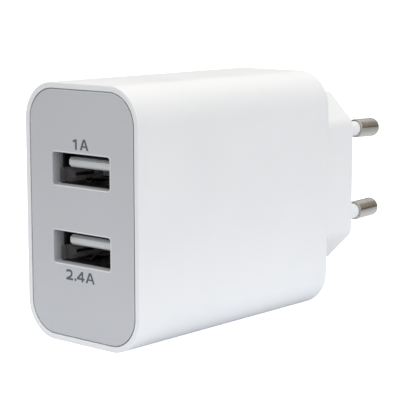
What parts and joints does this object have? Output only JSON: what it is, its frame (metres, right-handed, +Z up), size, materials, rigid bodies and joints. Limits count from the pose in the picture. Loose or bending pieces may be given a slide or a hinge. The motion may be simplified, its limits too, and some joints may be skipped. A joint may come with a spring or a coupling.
{
  "type": "usb wall charger",
  "caption": "Upright white wall charger with rounded long edges, a grey front panel with stacked USB-A ports, and a fixed round-pin plug on a hexagonal block at the rear.",
  "frame": {"origin": "on the surface the charger stands on, under the middle of its overall box", "axes": "+X to the right when looking at the ports, -Y out of the ports, +Y along the plug, +Z up"},
  "size_m": [0.028, 0.0894, 0.0465],
  "materials": {
    "white_plastic": "satin injection-moulded white plastic",
    "grey_plastic": "fine matt light grey plastic",
    "sleeve_plastic": "matt white insulating sleeve",
    "nickel": "polished nickel plating on brass",
    "port_steel": "nickel-plated stamped steel",
    "port_plastic": "matt off-white moulded plastic",
    "gold_contact": "gold-flashed contact strip",
    "bronze": "rolled phosphor bronze strip",
    "tan_board": "pressed paper circuit board",
    "green_board": "green lacquered circuit board",
    "black_plastic": "black moulded plastic",
    "ferrite": "sintered dark grey ferrite",
    "winding_copper": "lacquered copper wire",
    "yellow_tape": "yellow polyester tape",
    "tinned_wire": "tinned wire",
    "capacitor_dark": "dark plastic sleeve on an aluminium can",
    "capacitor_green": "dark green plastic sleeve on an aluminium can",
    "resistor_body": "green enamel on ceramic",
    "chip_black": "black moulded package",
    "chip_tan": "fired ceramic",
    "disc_blue": "blue epoxy dip",
    "insulation_film": "thin translucent film"
  },
  "bodies": {
    "charger": {"main_housing": "white_plastic", "plug_insert": "white_plastic", "front_panel": "grey_plastic", "upper_pin": "nickel", "lower_pin": "nickel", "upper_pin_sleeve": "sleeve_plastic", "lower_pin_sleeve": "sleeve_plastic", "upper_pin_spring": "bronze", "lower_pin_spring": "bronze", "main_board": "tan_board", "usb_board": "green_board", "link_header": "black_plastic", "link_pins": "gold_contact", "transformer_core": "ferrite", "transformer_bobbin": "black_plastic", "transformer_winding": "winding_copper", "transformer_tape": "yellow_tape", "transformer_pins": "tinned_wire", "mains_capacitors": "capacitor_dark", "output_capacitors": "capacitor_green", "filter_choke_core": "ferrite", "filter_choke_coil": "winding_copper", "fuse_resistor": "resistor_body", "bridge_rectifier": "chip_black", "suppression_capacitor": "disc_blue", "optocoupler": "chip_black", "output_diode": "chip_black", "controller_chip": "chip_black", "port_chips": "chip_black", "chip_resistors": "chip_black", "chip_capacitors": "chip_tan", "insulation_sheet": "insulation_film", "upper_usb_shell": "port_steel", "upper_usb_insulator": "port_plastic", "upper_usb_terminals": "gold_contact", "lower_usb_shell": "port_steel", "lower_usb_insulator": "port_plastic", "lower_usb_terminals": "gold_contact"},
    "upper_port_contacts": {"upper_usb_contacts": "gold_contact"},
    "upper_port_top_springs": {"upper_usb_top_springs": "port_steel"},
    "upper_port_bottom_springs": {"upper_usb_bottom_springs": "port_steel"},
    "lower_port_contacts": {"lower_usb_contacts": "gold_contact"},
    "lower_port_top_springs": {"lower_usb_top_springs": "port_steel"},
    "lower_port_bottom_springs": {"lower_usb_bottom_springs": "port_steel"}
  },
  "joints": [
    {"name": "upper_port_contacts_flex", "type": "hinge", "parent": "charger", "child": "upper_port_contacts", "pos_m": [0, -0.03335, 0.03175], "axis": [-1, 0, 0], "range_deg": [0, 3], "stiffness_Nm_per_rad": 0.35},
    {"name": "upper_port_top_springs_flex", "type": "hinge", "parent": "charger", "child": "upper_port_top_springs", "pos_m": [0, -0.03368, 0.03397], "axis": [-1, 0, 0], "range_deg": [0, 4.5], "stiffness_Nm_per_rad": 0.4},
    {"name": "upper_port_bottom_springs_flex", "type": "hinge", "parent": "charger", "child": "upper_port_bottom_springs", "pos_m": [0, -0.03368, 0.02852], "axis": [1, 0, 0], "range_deg": [0, 4.5], "stiffness_Nm_per_rad": 0.4},
    {"name": "lower_port_contacts_flex", "type": "hinge", "parent": "charger", "child": "lower_port_contacts", "pos_m": [0, -0.03335, 0.01775], "axis": [-1, 0, 0], "range_deg": [0, 3], "stiffness_Nm_per_rad": 0.35},
    {"name": "lower_port_top_springs_flex", "type": "hinge", "parent": "charger", "child": "lower_port_top_springs", "pos_m": [0, -0.03368, 0.01997], "axis": [-1, 0, 0], "range_deg": [0, 4.5], "stiffness_Nm_per_rad": 0.4},
    {"name": "lower_port_bottom_springs_flex", "type": "hinge", "parent": "charger", "child": "lower_port_bottom_springs", "pos_m": [0, -0.03368, 0.01452], "axis": [1, 0, 0], "range_deg": [0, 4.5], "stiffness_Nm_per_rad": 0.4}
  ]
}
